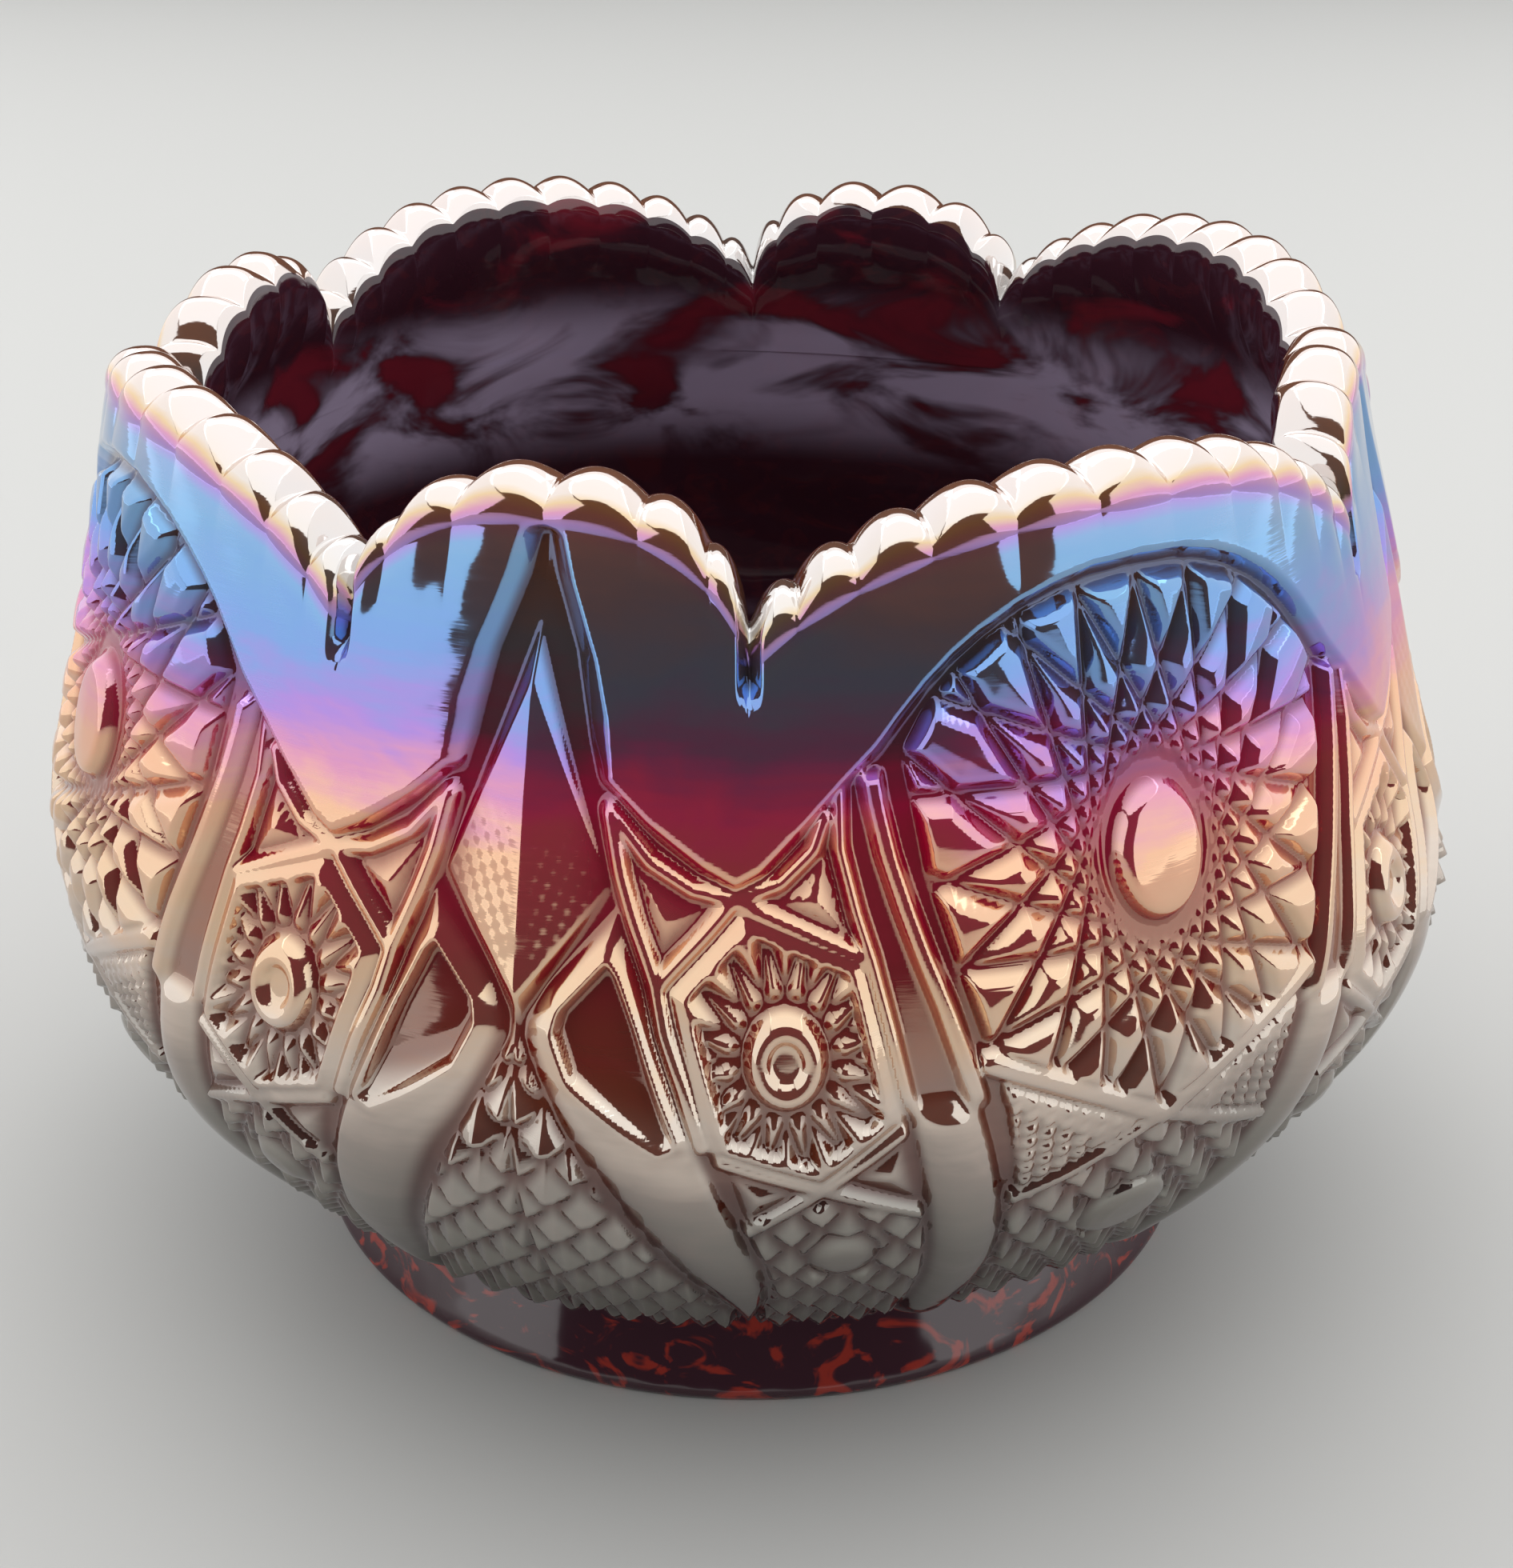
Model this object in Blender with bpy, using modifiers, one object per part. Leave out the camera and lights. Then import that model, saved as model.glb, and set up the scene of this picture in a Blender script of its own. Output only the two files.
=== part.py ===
"""Carnival glass bowl: one heavy pressing of dark glass on a plain collar foot.

The wall is one closed body of glass, turned from two sections about the vertical
axis and then shaped: the rim rises and falls in eight scallops edged with rounded
lobes, and the upper wall is pulled from round towards square.
Metres, +Z up, origin at the centre of the foot's resting plane. A short scallop,
with a spear pressed below it, faces each of -Y, +X, +Y and -X.
"""

import math

import bmesh
import bpy
import numpy as np

# ---- Driving dimensions, in metres ----
FOOT_RADIUS = 0.0683
FOOT_TOP_RADIUS = 0.0632
FOOT_HEIGHT = 0.0160
FOOT_RING_WIDTH = 0.0070
FOOT_RECESS = 0.0045
FOOT_EDGE_ROUND = 0.0008

BODY_EDGE_RADIUS = 0.0758
BODY_EDGE_HEIGHT = 0.0178
BELLY_RADIUS = 0.1019
BELLY_HEIGHT = 0.0630
SHOULDER_BEND = 0.0140
WALL_LEAN = 0.2750

RIM_HEIGHT = 0.1382
RIM_EDGE_ROUND = 0.0024

# Pull towards square, as a share of the radius: first over the shoulder, then the rim
SHOULDER_SQUARENESS = 0.022
SHOULDER_SPAN = (0.0600, 0.0850)
RIM_SQUARENESS = 0.010
RIM_SPAN = (0.1000, 0.1300)

FLOOR_HEIGHT = 0.0135
FLOOR_RADIUS = 0.0300
CAVITY_BELLY_RADIUS = 0.0880
CAVITY_BELLY_HEIGHT = 0.0520
THINNED_HEIGHT = 0.1000
THINNED_WALL = 0.0105
WALL_AT_RIM = 0.0100

# ---- Rim scallops: lobes counted from a spear's axis, 3 to the first valley ----
LOBES = 68
SCALLOP_PERIOD_LOBES = 17
SHORT_SCALLOP_HALF = 3.0
LONG_SCALLOP_HALF = 5.5
# Lobes crowd towards the valleys: this share of a scallop's lobes goes with the fifth power
SHORT_CROWDING = 0.30
LONG_CROWDING = 0.18
ARCH_FADE_POWER = 1.5
LOBE_FADE_POWER = 8
VALLEY_HEIGHT = 0.1206
SHORT_CREST = 0.1350
LONG_CREST = 0.1362
LOBE_RISE = 0.0020
LOBE_ROUNDNESS = 2.4
SLIT_BOTTOM = 0.1160

# ---- Facets around the axis ----
LOBE_STEPS = 4
RIM_STEPS = LOBES * LOBE_STEPS
BODY_STEPS = LOBES
CROWDING_SAMPLES = 64
MERGE_DISTANCE = 0.0001
JOIN_LOW = 0.1000
JOIN_HIGH = 0.1035
LOW_WALL_ROWS = 5
BELLY_ROWS = 4
RIM_ROWS = 4
CAVITY_ROWS = 6

# ---- Finish ----
GLASS_COLOUR = (0.16, 0.05, 0.14, 1.0)
GLASS_ROUGHNESS = 0.12
GLASS_METALLIC = 0.55

BOWL_COLLECTION = "carnival_glass_bowl"
BOWL_NAME = "pressed_glass_bowl"


def clear_scene():
    """Remove every object already in the file."""
    for item in list(bpy.data.objects):
        bpy.data.objects.remove(item, do_unlink=True)


def outer_radius(height):
    """Mean radius of the outer wall at a height, up to the rim.

    A quarter sine wave from the body's lower edge to the belly, a parabola over the
    shoulder's bend, and from there a straight lean towards the axis.
    """
    if height <= BELLY_HEIGHT:
        share = (height - BODY_EDGE_HEIGHT) / (BELLY_HEIGHT - BODY_EDGE_HEIGHT)
        return BODY_EDGE_RADIUS + (BELLY_RADIUS - BODY_EDGE_RADIUS) * math.sin(share * math.pi / 2)
    rise = height - BELLY_HEIGHT
    if rise <= SHOULDER_BEND:
        return BELLY_RADIUS - WALL_LEAN * rise**2 / (2 * SHOULDER_BEND)
    return BELLY_RADIUS - WALL_LEAN * (rise - SHOULDER_BEND / 2)


def wall_thickness(height):
    """Glass thickness of the wall: easing over the shoulder, then an even taper to the rim."""
    if height <= THINNED_HEIGHT:
        belly_wall = outer_radius(CAVITY_BELLY_HEIGHT) - CAVITY_BELLY_RADIUS
        share = (height - CAVITY_BELLY_HEIGHT) / (THINNED_HEIGHT - CAVITY_BELLY_HEIGHT)
        wave = (1 + math.cos(share * math.pi)) / 2
        return THINNED_WALL + (belly_wall - THINNED_WALL) * wave
    share = (height - THINNED_HEIGHT) / (RIM_HEIGHT - THINNED_HEIGHT)
    return THINNED_WALL + (WALL_AT_RIM - THINNED_WALL) * share


def inner_radius(height):
    """Radius of the cavity's wall above its widest turn."""
    return outer_radius(height) - wall_thickness(height)


def spaced(start, end, count):
    """Evenly spaced values from start to end, both included."""
    return [start + (end - start) * index / (count - 1) for index in range(count)]


def rim_section():
    """Section of the rim: up the cavity's side, over the rounded edge and down the outside."""
    shoulder = RIM_HEIGHT - RIM_EDGE_ROUND
    heights = spaced(JOIN_HIGH, shoulder, RIM_ROWS + 1)
    inside = [(inner_radius(height), height) for height in heights]
    crest = [
        (inner_radius(RIM_HEIGHT) + RIM_EDGE_ROUND, RIM_HEIGHT),
        (outer_radius(RIM_HEIGHT) - RIM_EDGE_ROUND, RIM_HEIGHT),
    ]
    outside = [(outer_radius(height), height) for height in reversed(heights)]
    return inside + crest + outside


def outer_section():
    """Section below the rim: down the belly, round the foot and in under the base."""
    belly = [(outer_radius(height), height) for height in spaced(JOIN_LOW, BELLY_HEIGHT, BELLY_ROWS)]
    low_wall = spaced(BELLY_HEIGHT, BODY_EDGE_HEIGHT, LOW_WALL_ROWS + 1)[1:]
    body = [(outer_radius(height), height) for height in low_wall]
    ring_inside = FOOT_RADIUS - FOOT_RING_WIDTH
    foot = [
        (FOOT_TOP_RADIUS, FOOT_HEIGHT),
        (FOOT_RADIUS, FOOT_EDGE_ROUND),
        (FOOT_RADIUS - FOOT_EDGE_ROUND, 0.0),
        (ring_inside, 0.0),
        (ring_inside - FOOT_EDGE_ROUND, FOOT_RECESS),
        (0.0, FOOT_RECESS + FOOT_EDGE_ROUND),
    ]
    return belly + body + foot


def cavity_section():
    """Section of the cavity: a flat floor, a quarter ellipse up to the belly, then the wall."""
    points = [(0.0, FLOOR_HEIGHT)]
    for angle in spaced(0.0, math.pi / 2, CAVITY_ROWS):
        reach = CAVITY_BELLY_RADIUS - FLOOR_RADIUS
        rise = CAVITY_BELLY_HEIGHT - FLOOR_HEIGHT
        points.append((FLOOR_RADIUS + reach * math.sin(angle), CAVITY_BELLY_HEIGHT - rise * math.cos(angle)))
    for height in spaced(CAVITY_BELLY_HEIGHT, JOIN_LOW, BELLY_ROWS)[1:]:
        points.append((inner_radius(height), height))
    return points


def turned_mesh(name, sections, steps):
    """Turn sections of (radius, height) points about Z with a Screw modifier."""
    points = []
    edges = []
    for section in sections:
        first = len(points)
        points += [(radius, 0.0, height) for radius, height in section]
        edges += [(index, index + 1) for index in range(first, len(points) - 1)]
    mesh = bpy.data.meshes.new(name)
    mesh.from_pydata(points, edges, [])
    turned = bpy.data.objects.new(name, mesh)
    bpy.context.scene.collection.objects.link(turned)
    screw = turned.modifiers.new("turn", "SCREW")
    screw.axis = "Z"
    screw.angle = 2 * math.pi
    screw.steps = steps
    screw.render_steps = steps
    screw.use_merge_vertices = True
    screw.merge_threshold = MERGE_DISTANCE
    graph = bpy.context.evaluated_depsgraph_get()
    result = bpy.data.meshes.new_from_object(turned.evaluated_get(graph))
    bpy.data.objects.remove(turned, do_unlink=True)
    return result


def open_edges(bm, outside):
    """Open edges of the two sections' ends, on the outer wall or in the cavity."""
    middle = (outer_radius(JOIN_LOW) + inner_radius(JOIN_LOW)) / 2
    chosen = []
    for edge in bm.edges:
        if edge.is_boundary:
            radius = math.hypot(edge.verts[0].co.x, edge.verts[0].co.y)
            if (radius > middle) == outside:
                chosen.append(edge)
    return chosen


def joined_glass():
    """Rim and body as one closed body of glass, bridged below the scallops."""
    bm = bmesh.new()
    bm.from_mesh(turned_mesh("rim_section", [rim_section()], RIM_STEPS))
    bm.from_mesh(turned_mesh("body_section", [outer_section(), cavity_section()], BODY_STEPS))
    for outside in (True, False):
        bmesh.ops.bridge_loops(bm, edges=open_edges(bm, outside))
    bmesh.ops.recalc_face_normals(bm, faces=bm.faces)
    mesh = bpy.data.meshes.new(BOWL_NAME)
    bm.to_mesh(mesh)
    bm.free()
    return mesh


def from_scallop_middles(lobe_count):
    """Lobes from the nearest short scallop's middle, and from the nearest long one's."""
    place = np.mod(lobe_count, SCALLOP_PERIOD_LOBES)
    from_short = np.minimum(place, SCALLOP_PERIOD_LOBES - place)
    return from_short, np.abs(place - SCALLOP_PERIOD_LOBES / 2)


def arch_height(lobe_count):
    """Height of the scallops' arches: one minus a power of the distance from the middle."""
    from_short, from_long = from_scallop_middles(lobe_count)
    short = np.clip(1 - (from_short / SHORT_SCALLOP_HALF) ** 2.6, 0, 1) ** 0.6
    long = np.clip(1 - (from_long / LONG_SCALLOP_HALF) ** 2.2, 0, 1) ** 0.8
    return VALLEY_HEIGHT + (SHORT_CREST - VALLEY_HEIGHT) * short + (LONG_CREST - VALLEY_HEIGHT) * long


def lobe_rise(lobe_count):
    """Rounded bump of each lobe above its arch, and the slit below it at each valley."""
    across_lobe = np.abs(2 * np.mod(lobe_count, 1.0) - 1)
    bump = LOBE_RISE * (1 - across_lobe**LOBE_ROUNDNESS)
    from_short = from_scallop_middles(lobe_count)[0]
    at_valley = np.abs(from_short - SHORT_SCALLOP_HALF) < 0.5 / LOBE_STEPS
    return np.where(at_valley, SLIT_BOTTOM - VALLEY_HEIGHT, bump)


def crowded(share, crowding):
    """Share of a scallop's half width at which a share of its lobes has passed."""
    place = np.linspace(0.0, 1.0, CROWDING_SAMPLES)
    passed = (1 - crowding) * place + crowding * place**5
    return np.interp(share, passed, place)


def crowding_shift(lobe_count):
    """Turn, in lobes, that brings each evenly spaced column to its crowded place."""
    from_short, from_long = from_scallop_middles(lobe_count)
    in_short = from_short < SHORT_SCALLOP_HALF
    distance = np.where(in_short, from_short / SHORT_SCALLOP_HALF, from_long / LONG_SCALLOP_HALF)
    short_move = (crowded(distance, SHORT_CROWDING) - distance) * SHORT_SCALLOP_HALF
    long_move = (crowded(distance, LONG_CROWDING) - distance) * LONG_SCALLOP_HALF
    place = np.mod(lobe_count, SCALLOP_PERIOD_LOBES)
    short_side = np.where(place < SCALLOP_PERIOD_LOBES / 2, 1.0, -1.0)
    return np.where(in_short, short_side * short_move, -short_side * long_move)


def smooth_step(value, span):
    """Cubic ease from 0 to 1 over a span."""
    share = np.clip((value - span[0]) / (span[1] - span[0]), 0, 1)
    return share**2 * (3 - 2 * share)


def squareness(height):
    """Pull towards square: one smooth step over the shoulder and one up to the rim."""
    shoulder = SHOULDER_SQUARENESS * smooth_step(height, SHOULDER_SPAN)
    return shoulder + RIM_SQUARENESS * smooth_step(height, RIM_SPAN)


def shape_wall(mesh):
    """Drop the rim to its scalloped line and pull the upper wall towards square."""
    flat = np.empty(len(mesh.vertices) * 3)
    mesh.vertices.foreach_get("co", flat)
    points = flat.reshape(-1, 3)
    radius = np.hypot(points[:, 0], points[:, 1])
    angle = np.arctan2(points[:, 1], points[:, 0])
    height = points[:, 2]
    lobe_count = np.round(angle / (2 * math.pi) * RIM_STEPS) / LOBE_STEPS
    rise = np.clip((height - JOIN_HIGH) / (RIM_HEIGHT - JOIN_HIGH), 0, 1)
    arch_drop = (RIM_HEIGHT - arch_height(lobe_count)) * rise**ARCH_FADE_POWER
    points[:, 2] = height - arch_drop + lobe_rise(lobe_count) * rise**LOBE_FADE_POWER
    spread = np.clip(rise * RIM_ROWS, 0, 1)
    angle = angle + spread * crowding_shift(lobe_count) * 2 * math.pi / LOBES
    square = squareness(points[:, 2]) * np.cos(4 * angle)
    points[:, 0] = radius * (1 - square) * np.cos(angle)
    points[:, 1] = radius * (1 - square) * np.sin(angle)
    mesh.vertices.foreach_set("co", points.ravel())
    mesh.update()


def glass_material():
    """Dark amethyst glass under a bright metallic film."""
    material = bpy.data.materials.new("iridised_amethyst_glass")
    material.use_nodes = True
    shader = material.node_tree.nodes["Principled BSDF"]
    shader.inputs["Base Color"].default_value = GLASS_COLOUR
    shader.inputs["Roughness"].default_value = GLASS_ROUGHNESS
    shader.inputs["Metallic"].default_value = GLASS_METALLIC
    material.diffuse_color = GLASS_COLOUR
    return material


def build_bowl():
    """The bowl as one named object in its own collection."""
    collection = bpy.data.collections.new(BOWL_COLLECTION)
    bpy.context.scene.collection.children.link(collection)
    mesh = joined_glass()
    shape_wall(mesh)
    bowl = bpy.data.objects.new(BOWL_NAME, mesh)
    collection.objects.link(bowl)
    mesh.materials.append(glass_material())
    mesh.shade_smooth()
    mesh.set_sharp_from_angle(angle=math.radians(35))
    return bowl


clear_scene()
build_bowl()
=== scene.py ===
"""Finished look of the carnival glass bowl: one pressing, its cut-glass pattern and its fired film.

The pattern repeats every 45 degrees as a mirrored sector. Angles are counted in degrees
from the axis of a spear to the middle of a long scallop, heights in millimetres above
the foot, and both are turned into a chart in millimetres before any shape is drawn.
"""

import math

import bpy
import numpy as np
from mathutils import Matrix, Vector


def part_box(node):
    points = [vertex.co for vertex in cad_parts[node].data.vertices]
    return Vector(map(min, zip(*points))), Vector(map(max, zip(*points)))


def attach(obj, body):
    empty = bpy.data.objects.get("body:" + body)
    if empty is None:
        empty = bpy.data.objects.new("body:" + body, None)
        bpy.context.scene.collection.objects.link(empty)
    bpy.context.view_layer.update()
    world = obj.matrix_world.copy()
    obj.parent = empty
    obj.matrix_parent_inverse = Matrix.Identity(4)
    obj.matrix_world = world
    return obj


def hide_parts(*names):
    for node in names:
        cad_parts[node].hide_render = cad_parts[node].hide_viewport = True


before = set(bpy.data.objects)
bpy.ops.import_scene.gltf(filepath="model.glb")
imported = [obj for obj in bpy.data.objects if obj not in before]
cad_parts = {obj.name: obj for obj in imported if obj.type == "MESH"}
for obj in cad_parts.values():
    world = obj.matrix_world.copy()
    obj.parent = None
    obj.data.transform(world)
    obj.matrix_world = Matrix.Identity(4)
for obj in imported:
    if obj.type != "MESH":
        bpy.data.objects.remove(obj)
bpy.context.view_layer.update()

BOWL_NODE = "pressed_glass_bowl"
MM = 0.001
LOW_CORNER, HIGH_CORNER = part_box(BOWL_NODE)
BELLY_RADIUS = (HIGH_CORNER[0] - LOW_CORNER[0]) / 2 / MM

# ---- The wall's section, in millimetres ----
EDGE_RADIUS, EDGE_HEIGHT = 75.8, 17.8
BELLY_HEIGHT = 63.0
SHOULDER_BEND, WALL_LEAN = 14.0, 0.275
THINNED_HEIGHT = 100.0
SHOULDER_SQUARENESS, SHOULDER_SPAN = 0.022, (60.0, 85.0)
RIM_SQUARENESS, RIM_SPAN = 0.010, (100.0, 130.0)
WALL_THICKNESS = 10.2
FOOT_RADIUS, FOOT_TOP_RADIUS, FOOT_TOP = 68.3, 63.2, 16.0
FLOOR_HEIGHT, FLOOR_RADIUS = 13.5, 30.0
CAVITY_RADIUS, CAVITY_HEIGHT = 88.0, 52.0
EDGE_TURN_HEIGHT, EDGE_TURN_DEPTH = 5.0, 1.6

# ---- The scalloped rim ----
SECTOR = 45.0
VALLEY_ANGLE = 15.9
VALLEY_HEIGHT, SHORT_CREST, LONG_CREST = 120.6, 135.0, 136.2
SHORT_LOBES, LONG_LOBES = 3.0, 5.5
SHORT_CROWDING, LONG_CROWDING = 0.30, 0.18
LOBE_SWELL = 2.1
LOBE_BULGE, BULGE_REACH = 0.2, 5.0
SLIT_DEPTH, SLIT_HALF_ANGLE, SLIT_FOOT = 2.6, 0.9, (112.6, 116.0)
RIM_ROUND = 4.2
LOAF_POWER = 2 / 2.25

# ---- The sector's mesh ----
COLUMNS = 272
WALL_ROWS = 256
RIM_ROWS = 34
INSIDE_ROWS = 12
BARE_ROWS = INSIDE_ROWS + int(RIM_ROWS * 0.16)
UNDER_ROWS = 8
LEVEL_ROWS = int(WALL_ROWS * 0.72)
LEVEL_HEIGHT = 100.0
INSIDE_JOIN = 106.0
RING_STEPS = 544
FAR_BELOW_RIM = 90.0

# ---- The chart on which the pattern is drawn: millimetres for each degree, and the cuts' depth ----
CHART_WIDTH = 1.68
CUT_FLOOR = -2.4
SPEAR_FOOT = 104.8
SMALL_STAR_ANGLE, SMALL_STAR_HEIGHT = 18.3, 74.4
LARGE_STAR_ANGLE, LARGE_STAR_HEIGHT = 45.0, 93.6
PETAL_TOP = 90.5


def smooth_step(value, low, high):
    """Cubic ease from 0 at low to 1 at high."""
    share = np.clip((value - low) / (high - low), 0.0, 1.0)
    return share * share * (3 - 2 * share)


# ======================= The wall's section =======================


def outer_radius(height):
    """Quarter sine out to the belly, a parabola over the shoulder, then a straight lean in."""
    share = np.clip((height - EDGE_HEIGHT) / (BELLY_HEIGHT - EDGE_HEIGHT), 0, 1)
    low = EDGE_RADIUS + (BELLY_RADIUS - EDGE_RADIUS) * np.sin(share * math.pi / 2)
    rise = np.maximum(height - BELLY_HEIGHT, 0)
    bend = WALL_LEAN * np.minimum(rise, SHOULDER_BEND) ** 2 / (2 * SHOULDER_BEND)
    return low - bend - WALL_LEAN * np.maximum(rise - SHOULDER_BEND, 0)


def squareness(height):
    """Share by which the wall is pulled towards square, over the shoulder and up to the rim."""
    shoulder = SHOULDER_SQUARENESS * smooth_step(height, *SHOULDER_SPAN)
    return shoulder + RIM_SQUARENESS * smooth_step(height, *RIM_SPAN)


def wall_radius(angle, height):
    """Outer radius at an angle from the spear's axis, flatter on that axis than between."""
    return outer_radius(height) * (1 - squareness(height) * np.cos(np.radians(4 * angle)))


def scallop_place(angle):
    """Share of the way from a scallop's middle to its valley, and whether it is a short one."""
    short = angle < VALLEY_ANGLE
    from_middle = np.where(short, angle / VALLEY_ANGLE, (SECTOR - angle) / (SECTOR - VALLEY_ANGLE))
    return np.clip(from_middle, 0, 1), short


def arch_height(angle):
    """Height of the rim's arches: one minus a power of the share of the way to the valley."""
    place, short = scallop_place(angle)
    short_arch = (SHORT_CREST - VALLEY_HEIGHT) * (1 - place**2.6) ** 0.6
    long_arch = (LONG_CREST - VALLEY_HEIGHT) * (1 - place**2.2) ** 0.8
    return VALLEY_HEIGHT + np.where(short, short_arch, long_arch)


def lobe_swell(angle):
    """Swell of the rounded lobes: a parabola on each, crowded towards the valleys.

    The lobes passed since a scallop's middle are counted by a share of the way and its
    fifth power: three in half a short scallop, five and a half in half a long one.
    """
    place, short = scallop_place(angle)
    crowding = np.where(short, SHORT_CROWDING, LONG_CROWDING)
    passed = (1 - crowding) * place + crowding * place**5
    count = np.where(short, passed * SHORT_LOBES, passed * LONG_LOBES + 0.5)
    across = np.abs(2 * np.mod(count, 1.0) - 1)
    return LOBE_SWELL * (0.60 - across**2)


def valley_slit(angle):
    """Depth share of the slit pressed into each valley: a V with a rounded bottom."""
    away = np.abs(angle - VALLEY_ANGLE) / SLIT_HALF_ANGLE
    return np.clip(1 - np.sqrt(away**2 + 0.02), 0, 1) ** 0.9


# ======================= Drawing on the chart =======================


def charted(points):
    """Points of (degrees, height) as chart millimetres."""
    return [(angle * CHART_WIDTH, height) for angle, height in points]


def segment_distance(x, y, start, end):
    """Distance from every chart point to one straight stretch."""
    run, rise = end[0] - start[0], end[1] - start[1]
    along = ((x - start[0]) * run + (y - start[1]) * rise) / (run * run + rise * rise)
    along = np.clip(along, 0, 1)
    return np.hypot(x - start[0] - along * run, y - start[1] - along * rise)


def path_distance(x, y, points):
    """Distance to an open path: the least of the distances to its stretches."""
    corners = charted(points)
    nearest = np.full(x.shape, np.inf)
    for start, end in zip(corners[:-1], corners[1:]):
        nearest = np.minimum(nearest, segment_distance(x, y, start, end))
    return nearest


def depth_inside(x, y, points):
    """Distance in from a closed outline, negative outside it, by counting crossings."""
    corners = charted(points)
    inside = np.zeros(x.shape, bool)
    nearest = np.full(x.shape, np.inf)
    for start, end in zip(corners, corners[1:] + corners[:1]):
        nearest = np.minimum(nearest, segment_distance(x, y, start, end))
        if start[1] != end[1]:
            spans = (start[1] > y) != (end[1] > y)
            cross = start[0] + (y - start[1]) * (end[0] - start[0]) / (end[1] - start[1])
            inside ^= spans & (x < cross)
    return np.where(inside, nearest, -nearest)


def bar(x, y, points, half, top, side=1.6):
    """A raised strip: level at top within half a width of its path, with sloping sides."""
    away = path_distance(x, y, points)
    return top - side * np.maximum(away - half, 0)


def roof(x, y, points, slope):
    """A facet group: sloping up from its outline at one pitch, as mitre cuts leave it."""
    return CUT_FLOOR + slope * np.maximum(depth_inside(x, y, points), 0)


def between(value, edges, levels):
    """Straight-line levels between edges that are arrays themselves."""
    result = np.full(value.shape, float(levels[0]))
    for low, high, first, last in zip(edges[:-1], edges[1:], levels[:-1], levels[1:]):
        share = np.clip((value - low) / np.maximum(high - low, 1e-3), 0, 1)
        result = np.where(value >= low, first + (last - first) * share, result)
    return result


def line_at(height, points):
    """Angle of a rising line at a height, from its (angle, height) points."""
    ordered = sorted(points, key=lambda point: point[1])
    return np.interp(height, [p[1] for p in ordered], [p[0] for p in ordered])


def crossed_cuts(u, v, cuts, skip, reach):
    """Pyramids left between straight cuts that join every cut's end to the one skip away.

    The cuts are the sides of a star drawn in a circle; the height is the distance to the
    nearest cut, in millimetres for a circle of radius reach.
    """
    offset = math.cos(math.pi * skip / cuts)
    nearest = np.full(u.shape, np.inf)
    for turn in np.arange(cuts) * 2 * math.pi / cuts:
        away = np.abs(u * math.sin(turn) + v * math.cos(turn) - offset)
        nearest = np.minimum(nearest, away)
    return nearest * reach


# ======================= The pattern's parts =======================

SPEAR_BEVEL_INSIDE = [(0.1, 131.5), (1.0, 125.5), (3.0, 117.5), (4.3, 108.0), (4.9, 104.8)]
SPEAR_BEVEL_OUTSIDE = [
    (0.9, 135.0), (1.6, 131.0), (2.8, 124.8), (4.8, 117.0), (5.8, 111.0), (6.2, 105.0),
]
KITE = [(0.0, 120.0), (6.2, 92.0), (0.0, 76.0), (-6.2, 92.0)]
PLAIN_EDGE = [
    (6.0, 104.8), (9.0, 100.5), (13.0, 96.0), (15.0, 94.4), (16.5, 95.8), (20.0, 101.8),
    (22.0, 105.3), (24.5, 109.3), (26.0, 112.3), (28.0, 116.0), (30.0, 118.9), (32.0, 121.2),
    (35.0, 123.9), (38.0, 125.7), (41.0, 126.8), (45.0, 127.2), (49.0, 126.8),
]
TRIANGLE_TOP_RIDGE = [
    (6.4, 100.4), (9.0, 95.6), (12.0, 92.9), (14.9, 92.0), (18.0, 94.0), (20.3, 97.7), (21.1, 101.3),
]
TRIANGLE_LOW_RIDGE = [(9.7, 82.0), (11.0, 84.5), (13.0, 88.2), (14.9, 92.0), (19.0, 89.2), (23.5, 85.8)]
TRIANGLE_SIDE_RIDGE = [
    (6.1, 100.7), (7.0, 94.0), (7.9, 89.5), (9.6, 82.3), (10.3, 77.0), (11.6, 71.0), (12.8, 64.0),
]
TRIANGLE_LEFT = [
    (6.9, 99.2), (8.5, 95.2), (11.5, 92.0), (13.6, 91.2), (12.0, 88.0), (9.9, 84.6), (8.6, 88.5),
]
TRIANGLE_RIGHT = [
    (16.3, 92.2), (18.3, 93.2), (20.2, 96.6), (21.0, 99.2), (22.0, 93.0), (22.8, 87.3), (19.5, 89.6),
]
HOB_FRAME = [(15.5, 91.0), (10.5, 81.5), (13.5, 63.0), (20.7, 58.5), (26.0, 66.7), (23.6, 85.8)]
PETAL_LEFT = [
    (6.8, 90.0), (4.5, 85.5), (2.0, 80.5), (0.7, 76.5), (0.7, 74.5), (1.5, 71.5), (3.0, 66.5),
    (5.0, 60.0), (7.0, 53.0), (9.0, 46.0), (11.0, 38.5), (13.0, 31.5), (14.8, 25.5), (15.3, 20.0),
]
PETAL_RIGHT = [
    (6.9, 90.0), (7.8, 85.0), (9.4, 78.0), (11.0, 71.0), (12.7, 63.5), (13.8, 58.0), (14.8, 53.0),
    (15.8, 47.0), (16.8, 41.5), (17.3, 36.0), (17.3, 31.0), (16.8, 26.0), (16.0, 20.0),
]
PETAL_FACET = [
    (6.2, 84.5), (3.0, 78.5), (2.7, 76.0), (4.0, 71.0), (7.5, 66.5), (10.0, 63.5), (11.3, 64.5),
    (10.0, 70.0), (8.5, 77.0), (7.0, 83.0),
]
RIB_LEFT = [
    (22.0, 98.0), (23.0, 91.0), (23.9, 86.0), (25.0, 78.0), (26.0, 70.0), (26.6, 66.5), (28.3, 52.0),
    (29.0, 46.0), (29.8, 38.0), (30.2, 30.0), (30.6, 20.0),
]
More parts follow.
